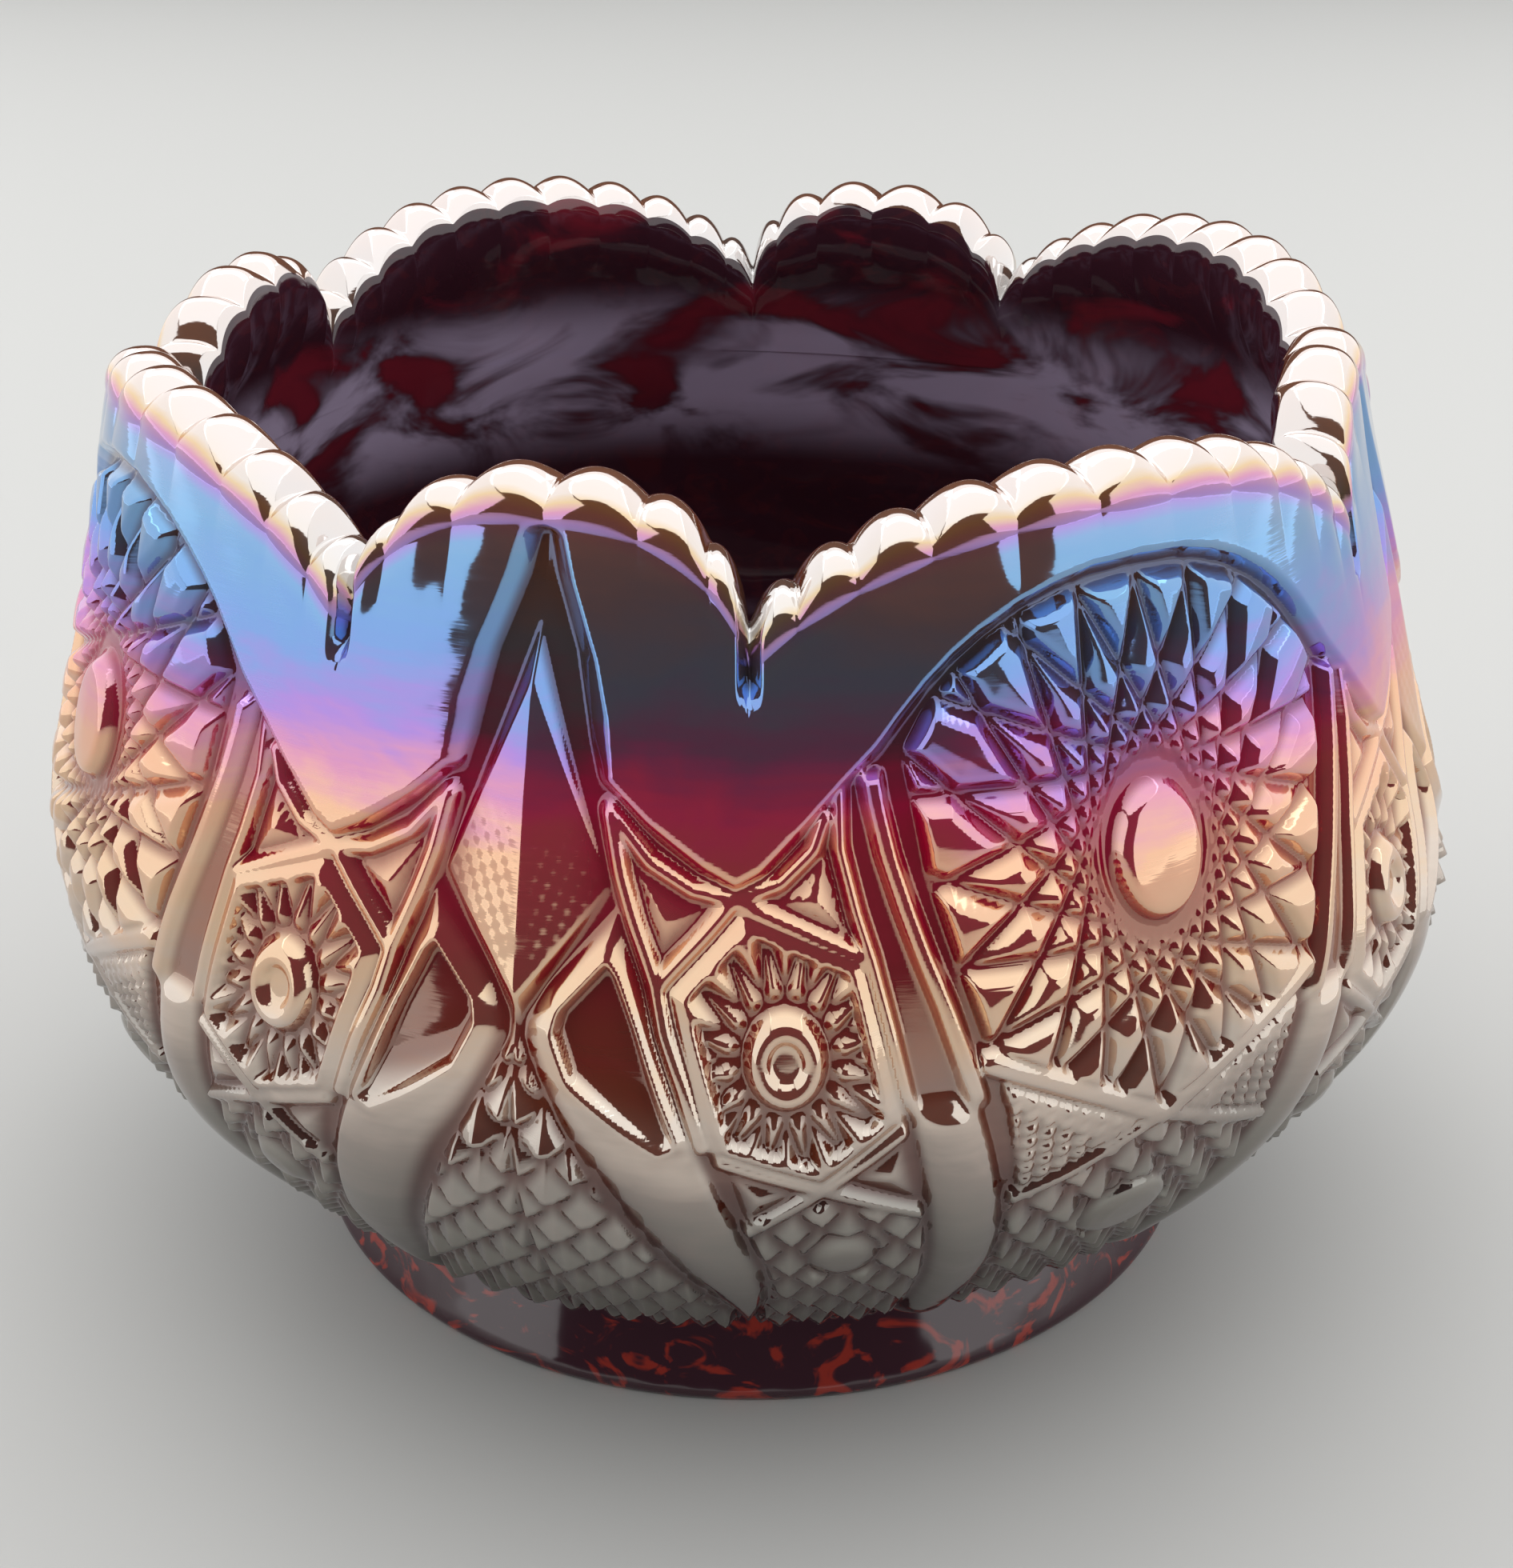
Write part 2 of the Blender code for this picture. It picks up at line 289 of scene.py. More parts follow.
RIB_RIDGE = [
    (24.3, 106.6), (24.6, 103.0), (25.4, 97.0), (26.5, 91.0), (27.5, 86.0), (28.8, 80.0), (29.7, 75.0),
    (30.6, 70.0), (31.0, 68.0), (32.0, 62.0), (33.0, 55.0), (33.8, 48.0), (34.5, 42.0), (35.0, 34.0),
    (35.2, 20.0),
]
FIELD_LEFT = [
    (25.7, 107.5), (27.0, 103.0), (28.0, 94.0), (29.0, 88.0), (30.2, 84.0), (30.8, 79.0), (31.5, 74.5),
    (33.0, 72.0),
]
STAR_FIELD = [
    (26.6, 108.0), (28.2, 112.3), (30.5, 116.3), (33.0, 119.4), (36.0, 122.0), (39.5, 123.8),
    (45.0, 124.6), (50.5, 123.8), (54.0, 122.0), (57.0, 119.4), (60.0, 115.6), (63.4, 108.0),
    (61.0, 88.0), (58.5, 74.5), (54.0, 70.0), (50.0, 66.0), (45.0, 61.5), (40.0, 66.0),
    (36.0, 70.0), (31.5, 74.5), (29.8, 84.0), (28.0, 94.0),
]


def spear(x, y, angle, height):
    """A long kite with a sharp ridge, standing in a channel whose sides rise to the plain wall."""
    inside = line_at(height, SPEAR_BEVEL_INSIDE)
    outside = line_at(height, SPEAR_BEVEL_OUTSIDE)
    channel = between(angle, [inside, outside], [CUT_FLOOR, 0.0])
    within = depth_inside(x, y, KITE)
    kite = np.minimum(-0.05 - 0.215 * np.sqrt(x**2 + 0.04), CUT_FLOOR + 1.2 * within)
    dots = np.cos(x * 2.7 + y * 1.1) * np.cos(y * 2.5 - x * 0.9)
    lower = smooth_step(103.0 - height, 0.0, 8.0) * smooth_step(within, 0.5, 1.4) * smooth_step(x, 0.8, 1.8)
    kite = np.where(within > 0, kite + 0.045 * dots * lower, CUT_FLOOR)
    return channel, kite


def plain_wall(x, y, angle, height):
    """The smooth upper wall, bevelled down to the cut floor along its lower edge."""
    edge = np.interp(angle, [p[0] for p in PLAIN_EDGE], [p[1] for p in PLAIN_EDGE])
    away = path_distance(x, y, PLAIN_EDGE)
    return np.where(height > edge, 0.0, np.maximum(-1.35 * away, CUT_FLOOR))


def mitre_triangles(x, y):
    """Two low textured pyramids below the plain wall's point, each between narrow bright ridges."""
    upper = bar(x, y, TRIANGLE_TOP_RIDGE, 0.45, -0.9)
    lower = bar(x, y, TRIANGLE_LOW_RIDGE, 0.5, -0.8)
    ridges = np.maximum(upper, lower)
    side = bar(x, y, TRIANGLE_SIDE_RIDGE, 0.5, -0.7)
    left = roof(x, y, TRIANGLE_LEFT, 0.45)
    right = roof(x, y, TRIANGLE_RIGHT, 0.55)
    grain = 0.10 * np.sin(x * 5.1 + 2 * np.sin(y * 1.3)) * np.sin(y * 4.7)
    facets = np.maximum(left, right)
    facets = np.where(facets > CUT_FLOOR + 0.2, facets + grain, facets)
    return np.maximum(np.maximum(ridges, side), facets)


def small_hobstar(x, y):
    """A framed hexagon holding a star of crossed cuts round a ringed and dimpled button."""
    depth = depth_inside(x, y, HOB_FRAME)
    frame_bar = between(depth, [-0.5, -0.1, 1.9, 2.5], [CUT_FLOOR, -1.5, -0.15, CUT_FLOOR])
    across, up = x - SMALL_STAR_ANGLE * CHART_WIDTH, y - SMALL_STAR_HEIGHT
    cuts = crossed_cuts(across / 12.6, up / 15.0, 16, 7, 13.5)
    star = CUT_FLOOR + np.minimum(1.25 * cuts, 2.1)
    ring = np.hypot(across / 3.9, up / 5.0)
    button = between(ring, [0.0, 0.42, 0.56, 0.80, 1.0, 1.22], [-1.2, -1.2, -0.25, 0.0, -0.5, CUT_FLOOR])
    star = np.where(ring > 1.22, np.minimum(star, CUT_FLOOR + 3.0 * (ring - 1.22)), button)
    star = np.where(depth > 1.9, star, CUT_FLOOR)
    return np.maximum(star, frame_bar)


def large_hobstar(x, y):
    """The big star under the long scallop: crossed cuts round an oval button in a moat."""
    depth = depth_inside(x, y, STAR_FIELD)
    across, up = x - LARGE_STAR_ANGLE * CHART_WIDTH, y - LARGE_STAR_HEIGHT
    cuts = crossed_cuts(across / 26.5, up / 31.0, 20, 8, 28.0)
    star = CUT_FLOOR + np.minimum(1.35 * cuts, 2.0 + 0.12 * cuts)
    oval = np.hypot(across / 5.3, up / 6.9)
    button = between(oval, [0.0, 0.86, 1.0, 1.22], [0.1, -0.1, -0.35, CUT_FLOOR - 0.3])
    moat = np.hypot(across / 7.2, (up - 0.6) / 9.8)
    star = np.where(moat > 1, np.minimum(star, CUT_FLOOR - 0.3 + 9.0 * (moat - 1)), button)
    return np.where(depth > 0, np.minimum(star, CUT_FLOOR + 2.0 * depth), CUT_FLOOR)


def petal(angle, height, x, y):
    """A leaf whose bevels rise from its outline to a sunk flat facet, and a round rib below it.

    The facet is a plane: it lies back by 0.3 for each millimetre up, and tilts sideways.
    """
    left = line_at(height, PETAL_LEFT)
    right = line_at(height, PETAL_RIGHT)
    width = np.maximum((right - left) * CHART_WIDTH, 0.3)
    across = (angle - left) * CHART_WIDTH
    from_side = np.clip(np.minimum(across, width - across), 0, None)
    facet = depth_inside(x, y, PETAL_FACET)
    away = np.clip(-facet, 0, 2.6)
    bevel = CUT_FLOOR * away / np.maximum(away + from_side, 0.05)
    plane = BELLY_RADIUS - 0.1 - 0.30 * (height - BELLY_HEIGHT - 1.0) - outer_radius(height)
    sunk = (plane - 0.08 * across) * np.clip(facet / 0.9, 0, 1)
    rib = CUT_FLOOR + 2.3 * np.clip(1 - np.abs(across / width * 2 - 1.24) ** 2.2 * 0.75, 0, 1)
    rib = np.minimum(rib, CUT_FLOOR + 1.5 * from_side)
    lower = smooth_step(height, 57.0, 66.0)
    shape = np.where(facet > 0, sunk, bevel * lower + rib * (1 - lower))
    inside = (angle > left) & (angle < right) & (height < PETAL_TOP)
    return np.where(inside, shape, CUT_FLOOR)


def scales(x, y, pitch, row, phase, lift, keel):
    """Overlapping pointed scales in staggered rows, tips down and raised, each with a keel.

    Every scale is two rows long; its outline widens as a power of the height above its tip,
    and the higher of the two staggered sets shows.
    """
    result = np.full(x.shape, CUT_FLOOR)
    for shift in (0, 1):
        step = np.mod((y - phase) / row - shift, 2.0)
        across = np.mod(x / pitch - 0.5 * shift + 0.5, 1.0) - 0.5
        wide = 0.60 * np.clip(step / 0.95, 0, 1) ** 0.6
        body = lift * (1 - 0.50 * step) - keel * np.abs(across) * pitch
        shown = (np.abs(across) < wide) & (step < 1.9)
        result = np.where(shown, np.maximum(result, CUT_FLOOR + body), result)
    return result


def feather(x, y, angle, height):
    """Below the spear, a drop of overlapping scales either side of a sharp middle groove."""
    right = line_at(height, PETAL_LEFT)
    inside = (angle < right - 0.5) & (height < 77.5)
    plume = scales(x - 3.9, y, 7.6, 3.6, 25.0, 3.1, 0.60)
    groove = CUT_FLOOR + 1.7 * x
    rise = CUT_FLOOR + 1.5 * np.maximum((right - 0.4 - angle) * CHART_WIDTH, 0)
    fan = np.minimum(np.minimum(plume, groove + 0.4), rise + 0.3)
    return np.where(inside, fan, CUT_FLOOR)


def long_rib(angle, height):
    """The rib beside the star: a hollow flute between ridges above, one round rib below."""
    left = line_at(height, RIB_LEFT)
    ridge = line_at(height, RIB_RIDGE)
    star = line_at(height, FIELD_LEFT)
    edges = [left - 0.55, left - 0.25, left + 0.25, left + 0.9]
    edges += [ridge - 1.1, ridge - 0.45, ridge + 0.45, ridge + 0.9, star + 0.4]
    flute = between(angle, edges, [CUT_FLOOR, -0.6, -0.6, -2.0, -2.0, -0.2, -0.2, -2.3, CUT_FLOOR])
    middle = (left + ridge) / 2
    half = np.maximum((ridge - left) / 2 + 0.25, 0.3)
    round_rib = CUT_FLOOR + 2.4 * np.clip(1 - (np.abs(angle - middle) / half) ** 2.4, 0, 1)
    share = smooth_step(height, 66.0, 70.0)
    shape = round_rib * (1 - share) + flute * share
    inside = (angle > left - 0.55) & (angle < np.maximum(star, ridge + 0.5)) & (height < 106.0)
    return np.where(inside, shape, CUT_FLOOR)


def lower_panel(x, y, angle, height):
    """Under the small star: a cross of thin bars, then scales round a faceted drop."""
    left = line_at(height, PETAL_RIGHT)
    right = line_at(height, RIB_LEFT)
    inside = (angle > left + 0.4) & (angle < right - 0.5) & (height < 66.0)
    cross = np.maximum(
        bar(x, y, [(14.2, 62.0), (20.7, 57.7), (28.3, 52.0)], 0.45, -0.7),
        bar(x, y, [(26.4, 66.0), (20.7, 57.7), (15.2, 49.8)], 0.45, -0.7),
    )
    sides = np.maximum(
        roof(x, y, [(14.3, 60.6), (19.6, 57.2), (15.6, 51.6)], 0.6),
        roof(x, y, [(22.3, 58.6), (26.2, 64.2), (27.6, 54.0)], 0.6),
    )
    shingle = scales(x - 22.6 * CHART_WIDTH, y, 6.4, 3.6, 19.5, 2.4, 0.60)
    shingle = np.where(height < 55.5 - 0.45 * np.abs(angle - 21.5), shingle, CUT_FLOOR)
    drop = np.hypot((angle - 22.6) * CHART_WIDTH / 4.0, (height - 44.4) / 4.6)
    button = between(drop, [0.0, 0.55, 0.95, 1.15], [-0.2, -0.5, -1.6, CUT_FLOOR])
    shingle = np.where(drop < 1.15, button, shingle)
    sink = CUT_FLOOR + 2.2 * np.maximum(np.minimum(angle - left - 0.4, right - 0.5 - angle), 0) * CHART_WIDTH
    shape = np.maximum(np.maximum(cross, sides), np.minimum(shingle, sink))
    return np.where(inside, shape, CUT_FLOOR)


def lower_triangle(x, y, angle, height):
    """Under the big star: bars that cross below it, rows of file beads, scales and an oval drop."""
    left = line_at(height, RIB_RIDGE)
    inside = (angle > left + 0.6) & (height < 76.0)
    upper = bar(x, y, [(31.8, 72.8), (36.0, 69.3), (40.0, 65.6), (45.0, 60.4), (50.0, 65.6)], 0.95, -0.5)
    lower = bar(x, y, [(33.6, 52.2), (38.0, 55.0), (42.0, 58.2), (45.0, 60.4), (48.0, 58.2)], 0.6, -0.7)
    beads_area = depth_inside(x, y, [(32.6, 70.0), (43.2, 60.5), (34.2, 53.4)])
    dome = np.sin(x * math.pi / 2.2) * np.sin((y - 0.35 * x) * math.pi / 1.9)
    beads = np.where(beads_area > 0.4, -1.9 + 1.35 * np.abs(dome) ** 0.8, CUT_FLOOR)
    plain = np.where((beads_area > 0) & (height > 66.5 - 1.15 * (angle - 33.5)), -1.0, CUT_FLOOR)
    shingle = scales(x - 45.0 * CHART_WIDTH, y, 6.6, 3.7, 19.0, 2.4, 0.60)
    under = 51.6 + 0.72 * np.minimum(angle - 34.0, 45.0 - 34.0)
    shingle = np.where(height < under, shingle, CUT_FLOOR)
    drop = np.hypot((x - 45.0 * CHART_WIDTH) / 6.0, (height - 43.5) / 5.6)
    button = between(drop, [0.0, 0.6, 0.9, 1.12], [0.0, -0.15, -0.8, CUT_FLOOR])
    shingle = np.where(drop < 1.12, button, shingle)
    shape = np.maximum(np.maximum(upper, lower), np.maximum(np.maximum(beads, plain), shingle))
    return np.where(inside, shape, CUT_FLOOR)


def polished(relief):
    """The mould's edges after fire polishing: a light running average along both directions."""
    weights = (0.25, 0.5, 0.25)
    for axis in (0, 1):
        padded = np.concatenate([relief.take([0], axis), relief, relief.take([-1], axis)], axis)
        size = relief.shape[axis]
        relief = sum(
            weight * padded.take(np.arange(shift, shift + size), axis) for shift, weight in enumerate(weights)
        )
    return relief


def pattern(angle, height):
    """Height of the pressed pattern over the wall's section: the highest of all its parts."""
    folded = np.abs(angle)
    folded = np.where(folded > SECTOR, 2 * SECTOR - folded, folded)
    x, y = folded * CHART_WIDTH, height
    channel, kite = spear(x, y, folded, height)
    parts = plain_wall(x, y, folded, height)
    near_spear = folded < line_at(height, SPEAR_BEVEL_OUTSIDE)
    parts = np.where(near_spear & (height > SPEAR_FOOT), np.minimum(parts, channel), parts)
    for part in (
        kite,
        mitre_triangles(x, y),
        small_hobstar(x, y),
        large_hobstar(x, y),
        petal(folded, height, x, y),
        feather(x, y, folded, height),
        long_rib(folded, height),
        lower_panel(x, y, folded, height),
        lower_triangle(x, y, folded, height),
    ):
        parts = np.maximum(parts, part)
    return parts


# ======================= Meshes =======================


def under_body(edge_radius):
    """The turn under the body: evenly outwards from the foot's top, rising as a power of the way."""
    start_radius, start_height = FOOT_TOP_RADIUS - 0.6, FOOT_TOP - 0.8
    share = np.linspace(0, 1, UNDER_ROWS)[:-1, None]
    radius = start_radius + (edge_radius - start_radius) * share
    height = start_height + (EDGE_HEIGHT - start_height) * share**2.2
    return radius, height + 0 * radius


def wall_heights(top):
    """Heights of the wall's rows: level up to LEVEL_HEIGHT, then stretched to the scalloped top."""
    level = np.linspace(EDGE_HEIGHT, LEVEL_HEIGHT, LEVEL_ROWS)[:, None] + 0 * top
    share = np.linspace(0, 1, WALL_ROWS - LEVEL_ROWS + 1)[1:, None]
    return np.concatenate([level, LEVEL_HEIGHT + (top - LEVEL_HEIGHT) * share])


def wall_relief(angle, height, below_loaf, slit, swell):
    """The pattern, faded out under the rim's loaf, with the lobes' bulge added and the slits cut in."""
    relief = polished(pattern(angle, height)) * smooth_step(below_loaf, -0.2, 1.4)
    relief = relief + LOBE_BULGE * swell * np.exp(-((below_loaf / BULGE_REACH) ** 2))
    return relief - SLIT_DEPTH * slit * smooth_step(height, *SLIT_FOOT)


def rim_loaf(wall_top_radius, wall_top_height, slit, swell):
    """The rim's loaf: a super-ellipse across the glass, higher at every lobe, slit on its outer half.

    Returns the radius, the height and how far each point lies below the loaf's own top,
    which counts on the outer half only.
    """
    turn = np.linspace(0, math.pi, RIM_ROWS + 1)[1:, None]
    out = np.sign(np.cos(turn)) * np.abs(np.cos(turn)) ** LOAF_POWER
    up = np.sin(turn) ** LOAF_POWER
    middle = wall_top_radius + SLIT_DEPTH * slit - WALL_THICKNESS / 2
    radius = middle + WALL_THICKNESS / 2 * out - SLIT_DEPTH * slit * np.clip(out, 0, 1)
    height = wall_top_height + (RIM_ROUND + swell) * up
    below_top = RIM_ROUND * np.where(turn < math.pi / 2, 1 - up, 0.0)
    return radius, height, below_top + 0 * radius


def inside_wall(loaf_radius, loaf_height, angle):
    """The inside from the loaf down to INSIDE_JOIN, easing onto the wall's radius less its thickness."""
    down = np.linspace(0, 1, INSIDE_ROWS + 1)[1:, None]
    height = loaf_height + (INSIDE_JOIN - loaf_height) * down
    settled = wall_radius(angle + 0 * height, height) - WALL_THICKNESS
    ease = smooth_step(down, 0.0, 0.5)
    return loaf_radius * (1 - ease) + settled * ease, height


def sector_section(angle):
    """One sector of the wall as grids: under the body, up the wall, over the rim, down inside.

    Returns the radius, the height, the depth of the cut and the distance below the rim.
    """
    columns = angle[None, :]
    slit, swell = valley_slit(columns), lobe_swell(columns)
    top = arch_height(columns) - RIM_ROUND
    height = wall_heights(top)
    spread = columns + 0 * height
    relief = wall_relief(spread, height, top - height, slit, swell)
    turn_in = np.clip((EDGE_HEIGHT + EDGE_TURN_HEIGHT - height) / EDGE_TURN_HEIGHT, 0, 1)
    radius = wall_radius(spread, height) + relief - EDGE_TURN_DEPTH * turn_in**2

    under_radius, under_height = under_body(radius[0])
    loaf_radius, loaf_height, below_top = rim_loaf(radius[-1], height[-1], slit, swell)
    inside_radius, inside_height = inside_wall(loaf_radius[-1], height[-1], columns)
    far = 0 * under_radius + FAR_BELOW_RIM
    grids = (
        (under_radius, radius, loaf_radius, inside_radius),
        (under_height, height, loaf_height, inside_height),
        (0 * under_radius, relief, 0 * loaf_radius, 0 * inside_radius),
        (far, top - height + RIM_ROUND, below_top, 0 * inside_radius),
    )
    return [np.concatenate(parts) for parts in grids]


def turned(radius, height, angle):
    """Points of a grid in metres, its angles counted from -Y towards +X."""
    swing = np.radians(angle)
    return np.stack([radius * np.sin(swing), -radius * np.cos(swing), height], -1) * MM


def grid_faces(rows, columns, closed, flipped):
    """Quads of a grid, rows upwards and columns anticlockwise, joined round when closed."""
    row = np.arange(rows - 1)[:, None]
    column = np.arange(columns if closed else columns - 1)[None, :]
    following = (column + 1) % columns
    corners = [row * columns + column, row * columns + following]
    corners += [(row + 1) * columns + following, (row + 1) * columns + column]
    quads = np.stack([corner.ravel() for corner in corners], -1)
    return quads[:, ::-1] if flipped else quads


def add_values(mesh, name, values):
    """A value at each point for the material to read."""
    layer = mesh.attributes.new(name, "FLOAT", "POINT")
    layer.data.foreach_set("value", values.astype(np.float32).ravel())


def surface(name, points, faces, normals, material):
    """One smooth piece from points and quads, riding on the bowl in place of its solid."""
    mesh = bpy.data.meshes.new(name)
    mesh.vertices.add(len(points))
    mesh.vertices.foreach_set("co", points.astype(np.float32).ravel())
    mesh.loops.add(faces.size)
    mesh.loops.foreach_set("vertex_index", faces.astype(np.int32).ravel())
    mesh.polygons.add(len(faces))
    mesh.polygons.foreach_set("loop_start", np.arange(len(faces), dtype=np.int32) * 4)
    mesh.update(calc_edges=True)
    mesh.validate()
    mesh.shade_smooth()
    if normals is not None:
        mesh.normals_split_custom_set_from_vertices(normals)
    mesh.materials.append(material)
    piece = bpy.data.objects.new(name, mesh)
    bpy.context.scene.collection.objects.link(piece)
    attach(piece, "root")
    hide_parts(BOWL_NODE)
    return piece


def grid_normals(points):
    """Unit normals of a grid of points, the cross product of its two directions' differences."""
    along = np.gradient(points, axis=1)
    up = np.gradient(points, axis=0)
    normal = np.cross(along, up)
    return normal / np.maximum(np.linalg.norm(normal, axis=-1, keepdims=True), 1e-12)


def wall_sector(name, turn, mirrored, angle, section, outside, inside):
    """One sector turned about the axis, mirrored if asked, with bare glass on its inner rows.

    Its edge columns lie past the sector and only serve to work the normals out.
    """
    radius, height, depth, reach = section
    sweep = turn + (-angle if mirrored else angle)[None, :] + 0 * radius
    points = turned(radius, height, sweep)
    normals = grid_normals(points) * (-1 if mirrored else 1)
    points, normals = points[:, 1:-1], normals[:, 1:-1]
    rows, columns = points.shape[:2]
    faces = grid_faces(rows, columns, False, mirrored)
    piece = surface(name, points.reshape(-1, 3), faces, normals.reshape(-1, 3), outside)
    add_values(piece.data, "cut_depth", depth[:, 1:-1])
    add_values(piece.data, "below_rim", reach[:, 1:-1])
    piece.data.materials.append(inside)
    is_bare = np.repeat(np.arange(rows - 1) >= rows - 1 - BARE_ROWS, columns - 1)
    piece.data.polygons.foreach_set("material_index", is_bare.astype(np.int32))


def build_wall(outside, inside):
    """The patterned wall and its rim: one sector worked out once, then turned and mirrored."""
    step = SECTOR / COLUMNS
    angle = np.linspace(-step, SECTOR + step, COLUMNS + 3)
    section = sector_section(np.where(angle > SECTOR, 2 * SECTOR - angle, np.abs(angle)))
    for quarter, side in enumerate(("front", "right", "back", "left")):
        wall_sector(f"wall_{side}_east", quarter * 90, False, angle, section, outside, inside)
        wall_sector(f"wall_{side}_west", quarter * 90, True, angle, section, outside, inside)


def revolve(name, section, flipped, material, square=True):
    """A section of (radius, height) turned into a closed ring, and pulled square as the wall is."""
    angle = np.arange(RING_STEPS)[None, :] * 360.0 / RING_STEPS
    radius, height = (values[:, None] + 0 * angle for values in np.array(section).T)
    if square:
        radius = radius * (1 - squareness(height) * np.cos(np.radians(4 * angle)))
    points = turned(radius, height, angle + 0 * radius)
    faces = grid_faces(len(section), RING_STEPS, True, flipped)
    return surface(name, points.reshape(-1, 3), faces, None, material)


def cavity_section():
    """The cavity from the join below the rim to the middle of the floor.

    The wall thickens as the square of the way down to the belly; a quarter ellipse leads
    from there onto the flat floor.
    """
    belly_wall = float(outer_radius(CAVITY_HEIGHT)) - CAVITY_RADIUS
    points = []
    for height in np.linspace(INSIDE_JOIN + 0.4, CAVITY_HEIGHT, 26):
        share = np.clip((THINNED_HEIGHT - height) / (THINNED_HEIGHT - CAVITY_HEIGHT), 0, 1)
        wall = WALL_THICKNESS + (belly_wall - WALL_THICKNESS) * share**2
        points.append((float(outer_radius(height)) - wall, float(height)))
    for turn in np.linspace(math.pi / 2, 0, 22)[1:]:
        reach = (CAVITY_RADIUS - FLOOR_RADIUS) * math.sin(turn)
        drop = (CAVITY_HEIGHT - FLOOR_HEIGHT) * math.cos(turn)
        points.append((FLOOR_RADIUS + reach, CAVITY_HEIGHT - drop))
    for radius in np.linspace(FLOOR_RADIUS, 0.05, 8)[1:]:
        points.append((radius, FLOOR_HEIGHT))
    return points


def foot_section():
    """The collar foot: its top under the body, the side, the resting ring and the recess."""
    return [
        (FOOT_TOP_RADIUS - 2.0, FOOT_TOP + 0.6), (FOOT_TOP_RADIUS - 0.3, FOOT_TOP - 0.2),
        (FOOT_TOP_RADIUS + 0.5, FOOT_TOP - 1.6), (FOOT_RADIUS - 0.7, 2.9), (FOOT_RADIUS - 0.15, 1.9),
        (FOOT_RADIUS, 1.1), (FOOT_RADIUS - 0.3, 0.4), (FOOT_RADIUS - 1.0, 0.05), (FOOT_RADIUS - 1.7, 0.0),
        (FOOT_RADIUS - 5.6, 0.0), (FOOT_RADIUS - 6.5, 0.2), (FOOT_RADIUS - 7.2, 0.9),
        (FOOT_RADIUS - 7.9, 2.6), (FOOT_RADIUS - 9.0, 4.0), (FOOT_RADIUS - 11.0, 4.8),
        (FOOT_RADIUS - 20.0, 5.2), (20.0, 5.4), (0.05, 5.4),
    ]


# ======================= Materials =======================


def new_material(name):
    """A material with its node tree and its main shader."""
    material = bpy.data.materials.new(name)
    material.use_nodes = True
    return material, material.node_tree, material.node_tree.nodes["Principled BSDF"]


def node(tree, kind, **values):
    """A node with its properties set."""
    made = tree.nodes.new(kind)
    for key, value in values.items():
        setattr(made, key, value)
    return made


def mixed(tree, factor, first, second, blend="MIX"):
    """A colour mix; each of its inputs is a socket or a plain value."""
    mix = node(tree, "ShaderNodeMix", data_type="RGBA", blend_type=blend)
    for socket, value in ((mix.inputs[0], factor), (mix.inputs[6], first), (mix.inputs[7], second)):
        plug(tree, value, socket)
    return mix.outputs[2]


def plug(tree, value, socket):
    """Link a socket, or set a plain value."""
    if isinstance(value, bpy.types.NodeSocket):
        tree.links.new(value, socket)
    elif isinstance(value, tuple) and len(value) == 3:
        socket.default_value = (*value, 1.0)
    else:
        socket.default_value = value


def ranged(tree, value, low, high, first=0.0, second=1.0, smooth=False):
    """A value mapped from low..high to first..second and held there."""
    span = node(tree, "ShaderNodeMapRange", interpolation_type="SMOOTHSTEP" if smooth else "LINEAR")
    names = ("Value", "From Min", "From Max", "To Min", "To Max")
    for key, number in zip(names, (value, low, high, first, second)):
        plug(tree, number, span.inputs[key])
    return span.outputs["Result"]


def sums(tree, operation, first, second=0.0, third=0.0):
    """One arithmetic step."""
    step = node(tree, "ShaderNodeMath", operation=operation)
    for socket, value in zip(step.inputs, (first, second, third)):
        plug(tree, value, socket)
    return step.outputs[0]


def colour_ramp(tree, value, bands, low, high):
    """Colours at their own values, blended between."""
    ramp = node(tree, "ShaderNodeValToRGB")
    plug(tree, ranged(tree, value, low, high), ramp.inputs["Fac"])
    elements = ramp.color_ramp.elements
    while len(elements) < len(bands):
        elements.new(0.5)
    for element, (place, colour) in zip(elements, bands):
        element.position = (place - low) / (high - low)
        element.color = (*colour, 1.0)
    return ramp.outputs["Color"]


def noise(tree, place, scale, detail=3.0, stretch=None, distortion=0.0):
    """Noise on the object's own coordinates, stretched along an axis if asked."""
    if stretch:
        mapping = node(tree, "ShaderNodeMapping")
        mapping.inputs["Scale"].default_value = stretch
        tree.links.new(place, mapping.inputs["Vector"])
        place = mapping.outputs["Vector"]
    pattern_node = node(tree, "ShaderNodeTexNoise")
    pattern_node.inputs["Detail"].default_value = detail
    pattern_node.inputs["Distortion"].default_value = distortion
    plug(tree, scale, pattern_node.inputs["Scale"])
    tree.links.new(place, pattern_node.inputs["Vector"])
    return pattern_node.outputs["Fac"]


